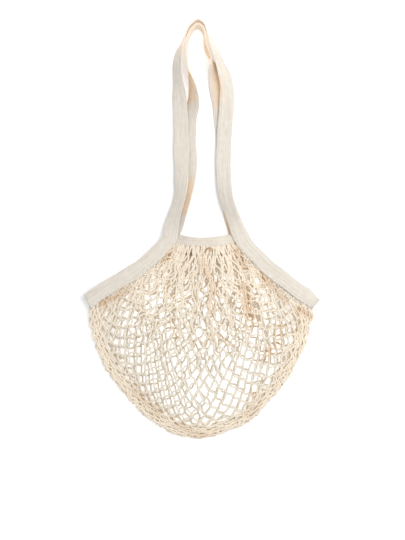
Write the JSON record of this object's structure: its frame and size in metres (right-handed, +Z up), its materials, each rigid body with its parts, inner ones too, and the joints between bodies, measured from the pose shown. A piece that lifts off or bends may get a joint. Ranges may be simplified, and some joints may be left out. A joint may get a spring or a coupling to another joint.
{
  "type": "string shopping bag",
  "caption": "Cotton net shopping bag laid flat: a gathered net hung from two long flat tapes that run on as shoulder handles, closed at the mouth by short bands.",
  "frame": {"origin": "middle of the underside of the bag as it lies on its back", "axes": "+X across the bag to the right corner, +Y towards the top of the handles, +Z up, out of the front of the bag"},
  "size_m": [0.3818, 0.6726, 0.0252],
  "materials": {
    "cotton_tape": "undyed folded cotton tape, matt, with fine lengthwise ribs and a stitched edge",
    "cotton_net": "undyed soft cotton string, knotted, matt"
  },
  "bodies": {
    "root": {"front_handle_tape": "cotton_tape", "back_handle_tape": "cotton_tape", "front_mouth_band": "cotton_tape", "back_mouth_band": "cotton_tape", "front_net": "cotton_net", "back_net": "cotton_net"}
  },
  "joints": []
}
